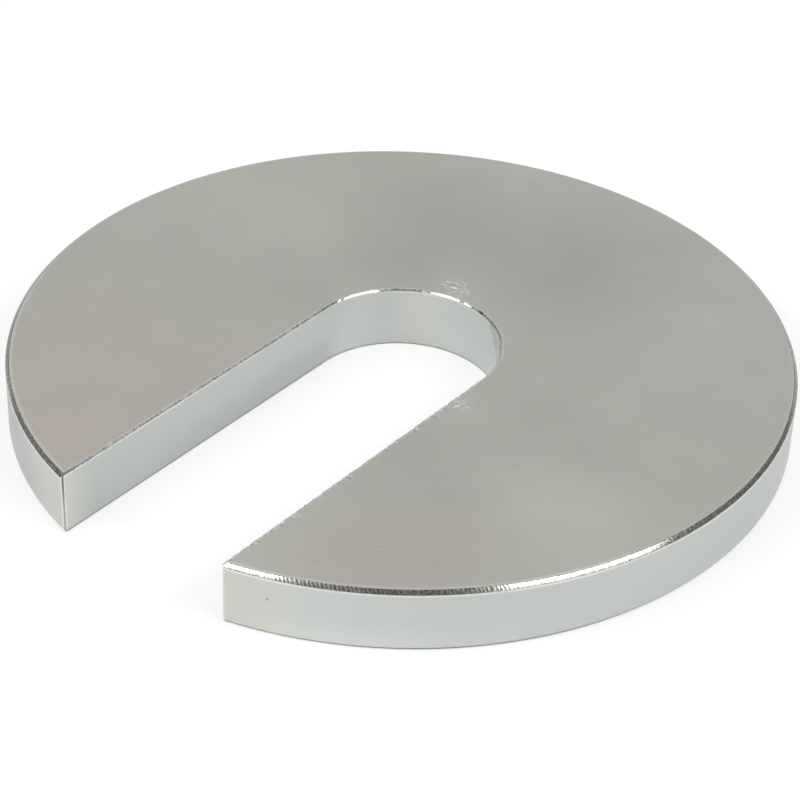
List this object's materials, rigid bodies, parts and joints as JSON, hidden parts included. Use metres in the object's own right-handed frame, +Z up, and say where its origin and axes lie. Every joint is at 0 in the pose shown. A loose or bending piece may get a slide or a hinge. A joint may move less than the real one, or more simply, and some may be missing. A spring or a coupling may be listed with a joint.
{
  "type": "slotted surcharge weight",
  "caption": "Flat round steel weight with a round-ended slot from rim to centre, chamfered rims and a bright plated finish.",
  "frame": {"origin": "centre of the disc, which is also the centre of the slot's round end, on the bottom face", "axes": "+Z up out of the top face, the slot opens towards -Y, X runs across the slot"},
  "size_m": [0.216, 0.2124, 0.0184],
  "materials": {
    "plated_steel": "turned and bright plated"
  },
  "bodies": {
    "root": {"slotted_weight": "plated_steel"}
  },
  "joints": []
}
